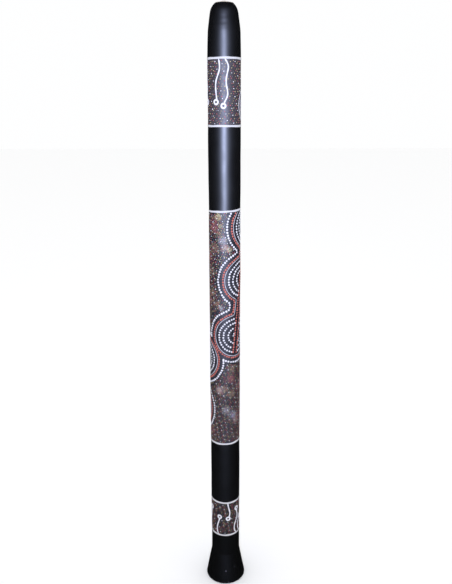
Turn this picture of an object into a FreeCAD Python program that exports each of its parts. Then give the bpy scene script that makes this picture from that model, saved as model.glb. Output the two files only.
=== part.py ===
"""Didgeridoo: a wooden drone pipe, standing on its bell.

The body is two hollowed half shells of wood, glued along their length. It has a
beeswax mouthpiece, black lacquer, and three decorated bands between white rings.
The bell's rim stands on the plane z = 0, and +Z runs up the bore to the mouthpiece.
Sizes are millimetres and come from the Dims sheet.
"""
import FreeCAD, Part
import os

import Sketcher

DIMENSIONS = {
    # whole instrument
    "wood_top": 1198,             # height of the wood, from the bell's rim to the mouth end
    "tube_radius": 30.5,          # outside of the straight lacquered tube
    "coat": 0.4,                  # thickness of lacquer or ground paint
    "glue": 0.3,                  # thickness of the glue film between the halves
    # bell
    "bell_radius": 42.4,          # outside of the lacquered bell, just above its rounded rim
    "rim_round": 2.8,             # height and width of the rim's outer rounding
    "flare_top": 67,              # where the straight tube starts to flare
    "rim_inner_round": 1.5,       # height and width of the rim's inner rounding
    "bell_mouth_radius": 36.5,    # inside of the bell, just above the inner rounding
    # neck and mouth end
    "neck_start": 1108.5,         # where the tube starts to draw in, just above the neck's white ring
    "waist_height": 1155,         # where the slow draw-in turns into the carved neck
    "waist_radius": 29.1,
    "shoulder_start": 1182,       # where the neck's cone meets the rounded shoulder
    "shoulder_round": 26,         # radius of the shoulder's arc
    "shoulder_inset": 0.4,        # the arc's centre lies this far beyond the bore axis
    "shoulder_height": 1178.3,    # height of the arc's centre
    # bore
    "bore_radius": 22.5,
    "bore_flare_height": 150,     # where the bore starts to widen towards the bell
    "bell_throat_radius": 24.5,   # bore at the start of the outer flare
    "bore_neck_height": 1120,     # where the bore starts to narrow towards the mouth
    "mouth_bore_height": 1175,    # where the narrow mouth bore starts
    "mouth_bore_radius": 14.5,
    # beeswax
    "wax_hole_radius": 13.5,      # opening that the lips seal against
    "wax_depth": 12,              # how far the wax lines the mouth bore
    "wax_crown": 2,               # how far the wax stands above the wood
    "wax_edge": 0.9,              # outer height of the wax ring, below its rounded crown
    # white rings, from the mouth down, with each one's middle height and its tilt in degrees
    "ring_width": 4.2,
    "ring_proud": 0.2,            # thickness of the ring's paint on the lacquer
    "neck_ring": 1105.8,
    "neck_ring_tilt": 0,
    "upper_ring": 989.2,
    "upper_ring_tilt": 0,
    "middle_top_ring": 833.3,
    "middle_top_ring_tilt": 3,
    "middle_low_ring": 343.3,
    "middle_low_ring_tilt": 2,
    "lower_top_ring": 200.2,
    "lower_top_ring_tilt": 0,
    "lower_low_ring": 118.6,
    "lower_low_ring_tilt": 0,
}

# paint zones on the straight tube, from the neck down: node name, height of the top and of the bottom
STRAIGHT_ZONES = [
    ("dotted_ground_upper", "neck_ring", "upper_ring"),
    ("black_coat_upper", "upper_ring", "middle_top_ring"),
    ("dotted_ground_middle", "middle_top_ring", "middle_low_ring"),
    ("black_coat_lower", "middle_low_ring", "lower_top_ring"),
    ("dotted_ground_lower", "lower_top_ring", "lower_low_ring"),
]

RINGS = [
    "neck_ring",
    "upper_ring",
    "middle_top_ring",
    "middle_low_ring",
    "lower_top_ring",
    "lower_low_ring",
]

WOOD_RADIUS = "(Dims.tube_radius - Dims.coat)"
BELL_WOOD_RADIUS = "(Dims.bell_radius - Dims.coat)"
WAIST_WOOD_RADIUS = "(Dims.waist_radius - Dims.coat)"

doc = FreeCAD.newDocument("didgeridoo")


def make_sheet():
    """Write the driving dimensions into the sheet, one named row each."""
    sheet = doc.addObject("Spreadsheet::Sheet", "Dims")
    for row, (alias, value) in enumerate(DIMENSIONS.items(), start=1):
        sheet.set(f"A{row}", alias)
        sheet.set(f"B{row}", str(value))
        sheet.setAlias(f"B{row}", alias)
    doc.recompute()


def shoulder_round(depth):
    """Radius of the shoulder's arc at a depth under the lacquer's surface."""
    return f"(Dims.shoulder_round - {depth})"


def shoulder_radius(height, depth):
    """Distance from the bore axis to the shoulder's arc at a height, at a depth under the surface."""
    return f"(sqrt({shoulder_round(depth)} ^ 2 - ({height} - Dims.shoulder_height) ^ 2) - Dims.shoulder_inset)"


def new_body(label):
    """Make an empty body whose label is the node's name."""
    body = doc.addObject("PartDesign::Body", label)
    body.Label = label
    return body


def new_sketch(body, name, role):
    """Attach a new sketch to one of the body's own origin planes."""
    sketch = body.newObject("Sketcher::SketchObject", name)
    plane = next(item for item in body.Origin.OriginFeatures if item.Role == role)
    sketch.AttachmentSupport = [(plane, "")]
    sketch.MapMode = "FlatFace"
    return sketch


def arc_between(start, end, radius):
    """Arc from start to end, shorter than half a turn: counterclockwise, or clockwise if radius < 0."""
    chord = end - start
    half = chord.Length / 2
    rise = (radius ** 2 - half ** 2) ** 0.5
    left = FreeCAD.Vector(-chord.y, chord.x, 0).normalize()
    centre = (start + end) / 2 + left * (rise if radius > 0 else -rise)
    circle = Part.Circle(centre, FreeCAD.Vector(0, 0, 1), abs(radius))
    first, last = (start, end) if radius > 0 else (end, start)
    return Part.ArcOfCircle(circle, circle.parameter(first), circle.parameter(last))


def bind(sketch, constraint, name, expression):
    """Add a driving constraint and bind it to an expression."""
    index = sketch.addConstraint(constraint)
    sketch.renameConstraint(index, name)
    sketch.setExpression(f".Constraints.{name}", expression)


def draw_outline(sketch, corners, arcs):
    """Draw a closed outline through corners, given as pairs of expressions for radius and height.

    arcs names the edges that are round: the key is the number of the edge's first corner, and the
    value is the arc's radius and +1 for a counterclockwise arc or -1 for a clockwise one.
    """
    places = [
        FreeCAD.Vector(float(sketch.evalExpression(across)), float(sketch.evalExpression(up)), 0)
        for across, up in corners
    ]
    starts = []
    ends = []
    for number, start in enumerate(places):
        end = places[(number + 1) % len(places)]
        if number in arcs:
            radius, turn = arcs[number]
            size = float(sketch.evalExpression(radius))
            geometry = sketch.addGeometry(arc_between(start, end, turn * size))
            bind(sketch, Sketcher.Constraint("Radius", geometry, size), f"round_{number}", radius)
            first, last = (1, 2) if turn > 0 else (2, 1)
        else:
            geometry = sketch.addGeometry(Part.LineSegment(start, end))
            first, last = 1, 2
        starts.append((geometry, first))
        ends.append((geometry, last))
    for number, (across, up) in enumerate(corners):
        geometry, point = starts[number]
        sketch.addConstraint(Sketcher.Constraint("Coincident", *ends[number - 1], geometry, point))
        place = places[number]
        across_rule = Sketcher.Constraint("DistanceX", -1, 1, geometry, point, place.x)
        up_rule = Sketcher.Constraint("DistanceY", -1, 1, geometry, point, place.y)
        bind(sketch, across_rule, f"across_{number}", across)
        bind(sketch, up_rule, f"up_{number}", up)


def revolve(body, sketch, angle):
    """Turn an outline about the bore axis."""
    turned = body.newObject("PartDesign::Revolution", "Turned")
    turned.Profile = sketch
    turned.ReferenceAxis = (sketch, ["V_Axis"])
    turned.Angle = angle
    doc.recompute()
    return turned


def draw_wall(sketch):
    """Draw the section of the wooden wall on one side of the axis, from the rim to the mouth end."""
    flat_end = f"({BELL_WOOD_RADIUS} - Dims.rim_round)"
    flat_start = "(Dims.bell_mouth_radius + Dims.rim_inner_round)"
    shoulder_wood = shoulder_radius("Dims.shoulder_start", "Dims.coat")
    top_wood = shoulder_radius("Dims.wood_top", "Dims.coat")
    corners = [
        (flat_start, "0"),
        (flat_end, "0"),
        (BELL_WOOD_RADIUS, "Dims.rim_round"),
        (WOOD_RADIUS, "Dims.flare_top"),
        (WOOD_RADIUS, "Dims.neck_start"),
        (WAIST_WOOD_RADIUS, "Dims.waist_height"),
        (shoulder_wood, "Dims.shoulder_start"),
        (top_wood, "Dims.wood_top"),
        ("Dims.mouth_bore_radius", "Dims.wood_top"),
        ("Dims.mouth_bore_radius", "Dims.mouth_bore_height"),
        ("Dims.bore_radius", "Dims.bore_neck_height"),
        ("Dims.bore_radius", "Dims.bore_flare_height"),
        ("Dims.bell_throat_radius", "Dims.flare_top"),
        ("Dims.bell_mouth_radius", "Dims.rim_inner_round"),
    ]
    arcs = {
        1: ("Dims.rim_round", 1),
        6: (shoulder_round("Dims.coat"), 1),
        13: ("Dims.rim_inner_round", 1),
    }
    draw_outline(sketch, corners, arcs)


def make_half(label, reverse):
    """Half shell of wood, planed back from the split plane by half of the glue film."""
    body = new_body(label)
    section = new_sketch(body, "WallSection", "YZ_Plane")
    draw_wall(section)
    turned = revolve(body, section, 180)
    turned.Reversed = reverse
    doc.recompute()
    volume = turned.Shape.Volume
    face = new_sketch(body, "SplitFace", "YZ_Plane")
    corners = [
        ("-1.1 * Dims.bell_radius", "0"),
        ("1.1 * Dims.bell_radius", "0"),
        ("1.1 * Dims.bell_radius", "Dims.wood_top"),
        ("-1.1 * Dims.bell_radius", "Dims.wood_top"),
    ]
    draw_outline(face, corners, {})
    planed = body.newObject("PartDesign::Pocket", "Planed")
    planed.Profile = face
    planed.setExpression("Length", "Dims.glue")
    planed.SideType = "Symmetric"
    doc.recompute()
    assert planed.Shape.Volume < volume, f"{label}: the split face cuts nothing"
    return body


def make_glue_film(label, quarter_turns):
    """Flat film of glue that fills the seam on one side, with the wall's own section."""
    body = new_body(label)
    section = new_sketch(body, "WallSection", "YZ_Plane")
    draw_wall(section)
    film = body.newObject("PartDesign::Pad", "Film")
    film.Profile = section
    film.setExpression("Length", "Dims.glue")
    film.SideType = "Symmetric"
    body.Placement = FreeCAD.Placement(
        FreeCAD.Vector(0, 0, 0), FreeCAD.Rotation(FreeCAD.Vector(0, 0, 1), 90 * quarter_turns)
    )
    return body


def make_wax():
    """Beeswax mouthpiece: a rounded ring on the wood's end, and a lining down the mouth bore."""
    body = new_body("beeswax_mouthpiece")
    section = new_sketch(body, "WaxSection", "YZ_Plane")
    crown_top = "(Dims.wood_top + Dims.wax_crown)"
    edge_top = "(Dims.wood_top + Dims.wax_edge)"
    edge_radius = shoulder_radius("Dims.wood_top", "Dims.coat")
    crown_radius = "(Dims.wax_crown - Dims.wax_edge)"
    corners = [
        ("Dims.wax_hole_radius", "(Dims.wood_top - Dims.wax_depth)"),
        ("Dims.mouth_bore_radius", "(Dims.wood_top - Dims.wax_depth)"),
        ("Dims.mouth_bore_radius", "Dims.wood_top"),
        (edge_radius, "Dims.wood_top"),
        (edge_radius, edge_top),
        (f"({edge_radius} - {crown_radius})", crown_top),
        (f"(Dims.wax_hole_radius + {crown_radius})", crown_top),
        ("Dims.wax_hole_radius", edge_top),
    ]
    arcs = {4: (crown_radius, 1), 6: (crown_radius, 1)}
    draw_outline(section, corners, arcs)
    revolve(body, section, 360)
    return body


def make_neck_coat():
    """Black lacquer on the neck, from the middle of the first white ring up over the shoulder."""
    body = new_body("black_coat_neck")
    section = new_sketch(body, "CoatSection", "YZ_Plane")
    corners = [
        (WOOD_RADIUS, "Dims.neck_ring"),
        ("Dims.tube_radius", "Dims.neck_ring"),
        ("Dims.tube_radius", "Dims.neck_start"),
        ("Dims.waist_radius", "Dims.waist_height"),
        (shoulder_radius("Dims.shoulder_start", "0"), "Dims.shoulder_start"),
        (shoulder_radius("Dims.wood_top", "0"), "Dims.wood_top"),
        (shoulder_radius("Dims.wood_top", "Dims.coat"), "Dims.wood_top"),
        (shoulder_radius("Dims.shoulder_start", "Dims.coat"), "Dims.shoulder_start"),
        (WAIST_WOOD_RADIUS, "Dims.waist_height"),
        (WOOD_RADIUS, "Dims.neck_start"),
    ]
    arcs = {4: (shoulder_round("0"), 1), 6: (shoulder_round("Dims.coat"), -1)}
    draw_outline(section, corners, arcs)
    revolve(body, section, 360)
    return body


def make_straight_coat(label, top, bottom):
    """Sleeve of paint on the straight tube, between the middles of two rings."""
    body = new_body(label)
    section = new_sketch(body, "CoatSection", "YZ_Plane")
    corners = [
        (WOOD_RADIUS, bottom),
        ("Dims.tube_radius", bottom),
        ("Dims.tube_radius", top),
        (WOOD_RADIUS, top),
    ]
    draw_outline(section, corners, {})
    revolve(body, section, 360)
    return body


def make_bell_coat():
    """Black lacquer on the bell, from the last white ring down to the rim's rounding."""
    body = new_body("black_coat_bell")
    section = new_sketch(body, "CoatSection", "YZ_Plane")
    corners = [
        (BELL_WOOD_RADIUS, "Dims.rim_round"),
        ("Dims.bell_radius", "Dims.rim_round"),
        ("Dims.tube_radius", "Dims.flare_top"),
        ("Dims.tube_radius", "Dims.lower_low_ring"),
        (WOOD_RADIUS, "Dims.lower_low_ring"),
        (WOOD_RADIUS, "Dims.flare_top"),
    ]
    draw_outline(section, corners, {})
    revolve(body, section, 360)
    return body


def make_ring(label, height):
    """White painted ring round the tube: a thin sleeve cut out by a slab with the ring's tilt."""
    reach = "2 * Dims.ring_width"
    outer = doc.addObject("Part::Cylinder", f"{label}_outside")
    outer.setExpression("Radius", "Dims.tube_radius + Dims.ring_proud")
    inner = doc.addObject("Part::Cylinder", f"{label}_inside")
    inner.setExpression("Radius", "Dims.tube_radius")
    for cylinder in (outer, inner):
        cylinder.setExpression("Height", f"2 * {reach}")
        cylinder.setExpression("Placement.Base.z", f"Dims.{height} - {reach}")
    sleeve = doc.addObject("Part::Cut", f"{label}_sleeve")
    sleeve.Base = outer
    sleeve.Tool = inner
    slab = doc.addObject("Part::Cylinder", f"{label}_slab")
    slab.setExpression("Radius", "2 * Dims.tube_radius")
    slab.setExpression("Height", "Dims.ring_width")
    slab.Placement.Rotation = FreeCAD.Rotation(FreeCAD.Vector(0, -1, 0), 1)
    slab.setExpression("Placement.Rotation.Angle", f"Dims.{height}_tilt")
    slab.setExpression("Placement.Base.x", f"sin(Dims.{height}_tilt) * Dims.ring_width / 2")
    lift = f"cos(Dims.{height}_tilt) * Dims.ring_width / 2"
    slab.setExpression("Placement.Base.z", f"Dims.{height} - {lift}")
    ring = doc.addObject("Part::Common", label)
    ring.Base = sleeve
    ring.Tool = slab
    ring.Label = label
    return ring


def make_parts():
    """Build every sub-part and return them as a list."""
    make_sheet()
    parts = [
        make_half("body_half_left", reverse=False),
        make_half("body_half_right", reverse=True),
        make_glue_film("glue_seam_back", quarter_turns=0),
        make_glue_film("glue_seam_front", quarter_turns=2),
        make_wax(),
        make_neck_coat(),
    ]
    for label, top, bottom in STRAIGHT_ZONES:
        parts.append(make_straight_coat(label, f"Dims.{top}", f"Dims.{bottom}"))
    parts.append(make_bell_coat())
    for number, height in enumerate(RINGS, start=1):
        parts.append(make_ring(f"white_ring_{number}", height))
    doc.recompute()
    return parts


def check(parts):
    """Stop if any object failed to build, or a sub-part is not one sound solid."""
    for item in doc.Objects:
        assert not {"Invalid", "Error"} & set(item.State), f"{item.Label}: {item.State}"
    for part in parts:
        shape = part.Shape
        assert not shape.isNull() and shape.isValid(), f"{part.Label}: bad shape"
        assert len(shape.Solids) == 1, f"{part.Label}: {len(shape.Solids)} solids"
        box = shape.BoundBox
        print(f"{part.Label}: {shape.Volume:.1f} mm3, x {box.XMin:.2f}..{box.XMax:.2f},", end=" ")
        print(f"y {box.YMin:.2f}..{box.YMax:.2f}, z {box.ZMin:.2f}..{box.ZMax:.2f}")


def export(parts):
    """Write one STEP file for each sub-part."""
    os.makedirs("parts", exist_ok=True)
    for part in parts:
        part.Shape.exportStep(f"parts/{part.Label}.step")


all_parts = make_parts()
check(all_parts)
export(all_parts)
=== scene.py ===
"""Looks of a dot-painted didgeridoo, built round its CAD frame.

Lengths in this file are millimetres until a mesh is made, and MM turns them into metres.
A place on the tube is (across, height): across is measured round the tube from the front
seam, growing to the right, and height is above the bell's rim.
"""
import math
from collections import namedtuple

import bpy
import numpy as np
from mathutils import Matrix, Vector


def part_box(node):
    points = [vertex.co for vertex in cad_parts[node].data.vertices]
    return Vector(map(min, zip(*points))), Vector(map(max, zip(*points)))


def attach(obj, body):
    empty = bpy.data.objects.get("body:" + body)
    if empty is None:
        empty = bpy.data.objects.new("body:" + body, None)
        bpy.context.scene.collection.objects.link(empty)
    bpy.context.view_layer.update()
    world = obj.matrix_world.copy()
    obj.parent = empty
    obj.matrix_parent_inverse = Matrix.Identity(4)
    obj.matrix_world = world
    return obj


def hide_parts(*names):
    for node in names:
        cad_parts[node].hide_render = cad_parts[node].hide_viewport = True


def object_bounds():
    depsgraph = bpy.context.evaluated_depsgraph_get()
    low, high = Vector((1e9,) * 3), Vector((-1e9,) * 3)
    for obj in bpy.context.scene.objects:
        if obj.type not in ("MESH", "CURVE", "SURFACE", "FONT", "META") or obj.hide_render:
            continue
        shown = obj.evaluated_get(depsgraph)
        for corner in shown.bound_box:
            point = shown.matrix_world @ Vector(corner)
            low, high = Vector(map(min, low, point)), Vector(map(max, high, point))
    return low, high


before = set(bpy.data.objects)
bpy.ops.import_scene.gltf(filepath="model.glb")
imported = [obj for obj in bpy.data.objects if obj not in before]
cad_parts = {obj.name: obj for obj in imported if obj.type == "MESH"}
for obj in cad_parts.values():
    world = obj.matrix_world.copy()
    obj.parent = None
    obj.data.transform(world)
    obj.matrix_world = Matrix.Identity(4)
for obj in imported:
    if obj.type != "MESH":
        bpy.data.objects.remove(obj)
cad_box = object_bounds()

MM = 0.001
FULL_TURN = 2 * math.pi
rng = np.random.default_rng(61)

# ------------ sizes read from the frame

Outline = namedtuple("Outline", ["outer_heights", "outer", "inner_heights", "inner"])
FACING = 0.03     # how much a face of the wall has to look outward or inward, of 1


def wall_profile(mesh, side):
    """Heights and radii, in mm, of a turned mesh's outer wall (side 1) or inner wall (side -1)."""
    radius_at = {}
    for face in mesh.polygons:
        outward = Vector((face.center.x, face.center.y, 0)).normalized()
        if side * face.normal.dot(outward) < FACING:
            continue
        for index in face.vertices:
            point = mesh.vertices[index].co / MM
            radius_at[round(point.z, 2)] = math.hypot(point.x, point.y)
    heights = sorted(radius_at)
    return np.array(heights), np.array([radius_at[height] for height in heights])


def node_outline(node):
    """Outline of a turned CAD node, from the bottom up."""
    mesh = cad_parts[node].data
    return Outline(*wall_profile(mesh, 1), *wall_profile(mesh, -1))


def middle_height(node):
    """Height of the middle of a node, in mm."""
    low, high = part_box(node)
    return (low.z + high.z) / 2 / MM


COAT_NODES = [
    "black_coat_bell",
    "dotted_ground_lower",
    "black_coat_lower",
    "dotted_ground_middle",
    "black_coat_upper",
    "dotted_ground_upper",
    "black_coat_neck",
]
COATS = {node: node_outline(node) for node in COAT_NODES}
SKIN_HEIGHTS = np.concatenate([COATS[node].outer_heights for node in COAT_NODES])
SKIN_RADII = np.concatenate([COATS[node].outer for node in COAT_NODES])
TUBE_RADIUS = COATS["dotted_ground_middle"].outer.max()
GIRTH = FULL_TURN * TUBE_RADIUS
COAT = TUBE_RADIUS - COATS["dotted_ground_middle"].inner.min()
TOTAL_HEIGHT = cad_box[1].z / MM
WOOD_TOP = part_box("body_half_left")[1].z / MM
WAX_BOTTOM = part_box("beeswax_mouthpiece")[0].z / MM
GLUE = (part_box("glue_seam_front")[1].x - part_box("glue_seam_front")[0].x) / MM

# middle height and tilt of each white ring; the tilt is the rise from the axis to the right side
RING_RISE = {3: 1.6, 4: 1.06}
RINGS = {
    number: (middle_height(f"white_ring_{number}"), RING_RISE.get(number, 0.0))
    for number in range(1, 7)
}

NECK_CREASE = 1155.0      # height where the neck steepens
CREASE_SOFTNESS = 6.0     # how far up and down the outline is averaged there
CREASE_REACH = 12.0       # how far from the crease the averaging ends
CREASE_FADE = 3.0         # over what distance it fades out
RIPPLES_FROM = 1150.0     # height where the neck's ripples begin

# ------------ the surface of the tube


def handwork(angle, height):
    """How far the hand-finished surface stands off its true radius, in mm."""
    slow = 0.16 * np.sin(FULL_TURN * height / 230 + 1.1)
    leaning = 0.12 * np.cos(angle + FULL_TURN * height / 150)
    oval = 0.07 * np.cos(2 * angle - FULL_TURN * height / 83 + 0.7)
    facets = 0.03 * np.cos(3 * angle + FULL_TURN * height / 41)
    return slow + leaning + oval + facets


def neck_ripple(angle, height):
    """Shallow ripples that carving leaves on the neck, in mm."""
    below_top = TOTAL_HEIGHT - 4 - height
    amount = np.clip((height - RIPPLES_FROM) / 10, 0, 1) * np.clip(below_top / 8, 0, 1)
    rings = np.sin(FULL_TURN * height / 9.5 + 1.4 * np.cos(angle + 0.6))
    patches = np.cos(4 * angle + FULL_TURN * height / 23)
    return amount * (0.03 * rings + 0.05 * patches)


def outline_radius(height):
    """Radius of the outline, with the crease where the neck steepens worn soft."""
    near_crease = np.clip((CREASE_REACH - np.abs(height - NECK_CREASE)) / CREASE_FADE, 0, 1)
    shifts = np.linspace(-CREASE_SOFTNESS, CREASE_SOFTNESS, 7)
    worn = np.mean([np.interp(height + shift, SKIN_HEIGHTS, SKIN_RADII) for shift in shifts], axis=0)
    sharp = np.interp(height, SKIN_HEIGHTS, SKIN_RADII)
    return sharp + near_crease * (worn - sharp)


def skin_radius(angle, height):
    """Radius of the painted surface at an angle from the front and a height."""
    return outline_radius(height) + handwork(angle, height) + neck_ripple(angle, height)


def to_space(angle, radius, height):
    """Points in metres from an angle from the front, a radius and a height in mm."""
    return np.stack([radius * np.sin(angle), -radius * np.cos(angle), height], axis=-1) * MM


def on_skin(across, height, lift):
    """Points in metres on the painted surface, lifted off it by lift mm."""
    angle = across / TUBE_RADIUS
    return to_space(angle, skin_radius(angle, height) + lift, height)


# ------------ making pieces


def add_piece(name, points, faces, material, replaced=()):
    """Make a mesh object that rides on the body and takes its finish from a slot."""
    mesh = bpy.data.meshes.new(name)
    mesh.from_pydata(np.asarray(points).reshape(-1, 3).tolist(), [], faces)
    mesh.polygons.foreach_set("use_smooth", [True] * len(mesh.polygons))
    mesh.materials.append(material)
    mesh.update()
    piece = bpy.data.objects.new(name, mesh)
    bpy.context.scene.collection.objects.link(piece)
    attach(piece, "root")
    if replaced:
        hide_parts(*replaced)
    return piece


def sharpen(piece, degrees):
    """Shade edges that turn by more than an angle as hard edges."""
    piece.data.set_sharp_from_angle(angle=math.radians(degrees))


def loop_faces(rows, columns, close_rows=False, close_columns=False):
    """Quads of a grid of points, numbered row by row."""
    faces = []
    for row in range(rows if close_rows else rows - 1):
        above = (row + 1) % rows
        for column in range(columns if close_columns else columns - 1):
            beside = (column + 1) % columns
            faces.append((
                row * columns + column,
                row * columns + beside,
                above * columns + beside,
                above * columns + column,
            ))
    return faces


def turned_over(faces):
    """The same faces looking the other way."""
    return [tuple(reversed(face)) for face in faces]


# ------------ materials


class NodeTree:
    """The nodes of a material or of the world, with short ways to add to them."""

    def __init__(self, owner):
        owner.use_nodes = True
        self.nodes = owner.node_tree.nodes
        self.links = owner.node_tree.links

    def feed(self, socket, value):
        """Link a socket to another node's output, or set its value."""
        if isinstance(value, bpy.types.NodeSocket):
            self.links.new(value, socket)
        else:
            socket.default_value = value

    def fill(self, node, inputs):
        """Feed a node's inputs by name; underscores stand for the spaces in their names."""
        for name, value in inputs.items():
            self.feed(node.inputs[name.replace("_", " ")], value)

    def add(self, kind, **inputs):
        """New node of a kind, with its inputs fed."""
        node = self.nodes.new(kind)
        self.fill(node, inputs)
        return node

    def surface(self, **inputs):
        """Feed the inputs of the Principled shader."""
        self.fill(self.nodes["Principled BSDF"], inputs)

    def place(self, stretch=(1.0, 1.0, 1.0)):
        """Object coordinates, in metres, stretched along each axis."""
        source = self.add("ShaderNodeTexCoord")
        mapping = self.add("ShaderNodeMapping", Vector=source.outputs["Object"], Scale=stretch)
        return mapping.outputs["Vector"]

    def noise(self, vector, scale, detail=3.0, roughness=0.55):
        """Noise value between 0 and 1."""
        node = self.add("ShaderNodeTexNoise", Vector=vector, Scale=scale, Detail=detail, Roughness=roughness)
        return node.outputs["Fac"]

    def spread(self, value, low, high, to_low=0.0, to_high=1.0, smooth=False):
        """Map a value's range from low..high to to_low..to_high, held at the ends."""
        node = self.add("ShaderNodeMapRange", Value=value, From_Min=low, From_Max=high,
                        To_Min=to_low, To_Max=to_high)
        node.interpolation_type = "SMOOTHERSTEP" if smooth else "LINEAR"
        return node.outputs["Result"]

    def times(self, first, second):
        """Product of two values."""
        node = self.add("ShaderNodeMath")
        node.operation = "MULTIPLY"
        self.feed(node.inputs[0], first)
        self.feed(node.inputs[1], second)
        return node.outputs["Value"]

    def blend(self, amount, first, second):
        """Mix two colours, each a colour or a socket, by an amount from 0 to 1."""
        node = self.add("ShaderNodeMix")
        node.data_type = "RGBA"
        self.feed(node.inputs["Factor"], amount)
        for number, colour in ((6, first), (7, second)):     # the Mix node's colour inputs
            self.feed(node.inputs[number], (*colour, 1.0) if isinstance(colour, tuple) else colour)
        return node.outputs[2]     # the Mix node's colour output

    def bump(self, height, strength, distance):
        """Bump from a height value, up to a distance in mm, into the shader's normal."""
        node = self.add("ShaderNodeBump", Height=height, Strength=strength, Distance=distance * MM)
        self.surface(Normal=node.outputs["Normal"])


def new_material(name):
    """Node material that holds only a Principled shader."""
    material = bpy.data.materials.new(name)
    return material, NodeTree(material)


LACQUER_GLOSS = 0.9     # specular level of the lacquer and of the ground paint
LACQUER_INDEX = 1.78    # their refractive index


def lacquer_material():
    """Black satin lacquer, brushed on by hand, with a little dust."""
    material, tree = new_material("black_lacquer")
    vector = tree.place()
    cloud = tree.noise(vector, 26.0)
    strokes = tree.noise(tree.place((1.0, 1.0, 0.12)), 420.0, 2.0)
    dust = tree.spread(tree.noise(vector, 900.0, 1.0), 0.70, 0.78)
    black = tree.blend(cloud, (0.0016, 0.0012, 0.0006), (0.0034, 0.0027, 0.0014))
    dusty = tree.blend(tree.times(dust, 0.5), black, (0.03, 0.03, 0.034))
    tree.bump(strokes, 0.06, 0.1)
    tree.surface(Base_Color=dusty, Roughness=tree.spread(cloud, 0.3, 0.7, 0.42, 0.48),
                 Specular_IOR_Level=LACQUER_GLOSS, IOR=LACQUER_INDEX)
    return material


# fine spatter of the ground paint: spacing in mm, size and share of the cells, colour
SPATTER = [
    (1.2, 0.36, 0.40, (0.085, 0.082, 0.13)),
    (1.5, 0.32, 0.16, (0.10, 0.018, 0.022)),
    (1.7, 0.30, 0.16, (0.11, 0.085, 0.045)),
]


def spatter_layer(tree, vector, spatter, base):
    """Fine round spots of one colour on top of a base colour."""
    spacing, size, share, colour = spatter
    cells = tree.add("ShaderNodeTexVoronoi", Vector=vector, Scale=1 / (spacing * MM))
    spot = tree.spread(cells.outputs["Distance"], size, size * 0.7)
    split = tree.add("ShaderNodeSeparateColor", Color=cells.outputs["Color"])
    chosen = tree.spread(split.outputs["Red"], share, share - 0.02)
    return tree.blend(tree.times(spot, chosen), base, colour)


def cloud_layer(tree, vector, cloud, base):
    """Soft patch of one colour round a place on the tube, broken up by noise."""
    (across, height), reach, colour, strength = cloud
    centre = to_space(np.array(across / TUBE_RADIUS), TUBE_RADIUS, height)
    away = tree.add("ShaderNodeVectorMath")
    away.operation = "DISTANCE"
    tree.feed(away.inputs[0], vector)
    tree.feed(away.inputs[1], centre.tolist())
    near = tree.spread(away.outputs["Value"], reach * MM, 0.0, smooth=True)
    ragged = tree.spread(tree.noise(vector, 330.0, 5.0, 0.7), 0.36, 0.60)
    amount = tree.times(tree.times(near, ragged), strength)
    return tree.blend(amount, base, colour)


def ground_material(name, clouds, dark, light):
    """Ground paint between two blackish colours, with soft clouds of colour and fine spatter."""
    material, tree = new_material(name)
    vector = tree.place()
    mottle = tree.noise(vector, 160.0, 4.0)
    colour = tree.blend(mottle, dark, light)
    for cloud in clouds:
        colour = cloud_layer(tree, vector, cloud, colour)
    for spatter in SPATTER:
        colour = spatter_layer(tree, vector, spatter, colour)
    tree.bump(mottle, 0.2, 0.1)
    tree.surface(Base_Color=colour, Roughness=tree.spread(mottle, 0.3, 0.7, 0.52, 0.62),
                 Specular_IOR_Level=LACQUER_GLOSS, IOR=LACQUER_INDEX)
    return material


def paint_material(colour):
    """Hand-laid acrylic paint: thick colour, with thinner and darker places."""
    thick, thin, gloss = PAINT_COLOURS[colour]
    material, tree = new_material(f"{colour}_acrylic")
    vector = tree.place()
    cover = tree.spread(tree.noise(vector, 520.0, 3.0), 0.25, 0.52)
    tree.bump(tree.noise(vector, 1100.0, 2.0), 0.25, 0.1)
    tree.surface(Base_Color=tree.blend(cover, thin, thick), Specular_IOR_Level=gloss,
                 Roughness=tree.spread(cover, 0.0, 1.0, 0.55, 0.42))
    return material


def wood_material():
    """Bare planed wood with grain along the tube."""
    material, tree = new_material("bare_wood")
    bands = tree.noise(tree.place((1.0, 1.0, 0.035)), 95.0, 4.0, 0.6)
    fibres = tree.noise(tree.place((1.0, 1.0, 0.012)), 900.0, 3.0, 0.7)
    broad = tree.blend(tree.spread(bands, 0.32, 0.68), (0.16, 0.075, 0.032), (0.38, 0.22, 0.11))
    pores = tree.spread(fibres, 0.42, 0.30)
    tree.bump(fibres, 0.5, 0.3)
    tree.surface(Base_Color=tree.blend(tree.times(pores, 0.7), broad, (0.07, 0.032, 0.014)),
                 Roughness=tree.spread(fibres, 0.3, 0.7, 0.72, 0.55), Specular_IOR_Level=0.3)
    return material


def wax_material():
    """Beeswax: beige, slightly see-through, mottled by handling."""
    material, tree = new_material("beeswax")
    vector = tree.place()
    mottle = tree.noise(vector, 210.0, 4.0)
    tree.bump(tree.noise(vector, 480.0, 3.0), 0.35, 0.3)
    colour = tree.blend(tree.spread(mottle, 0.3, 0.7), (0.34, 0.28, 0.20), (0.56, 0.51, 0.43))
    tree.surface(Base_Color=colour, Roughness=tree.spread(mottle, 0.3, 0.7, 0.36, 0.5),
                 Specular_IOR_Level=0.4, Subsurface_Weight=0.2, Subsurface_Scale=2 * MM,
                 Subsurface_Radius=(1.0, 0.8, 0.6))
    return material


def glue_material():
    """Dried wood glue, amber with pale streaks."""
    material, tree = new_material("wood_glue")
    streaks = tree.noise(tree.place((1.0, 1.0, 0.2)), 380.0, 3.0)
    tree.bump(streaks, 0.3, 0.2)
    tree.surface(Base_Color=tree.blend(streaks, (0.12, 0.06, 0.02), (0.42, 0.28, 0.12)),
                 Roughness=tree.spread(streaks, 0.3, 0.7, 0.3, 0.5), Specular_IOR_Level=0.4)
    return material


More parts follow.
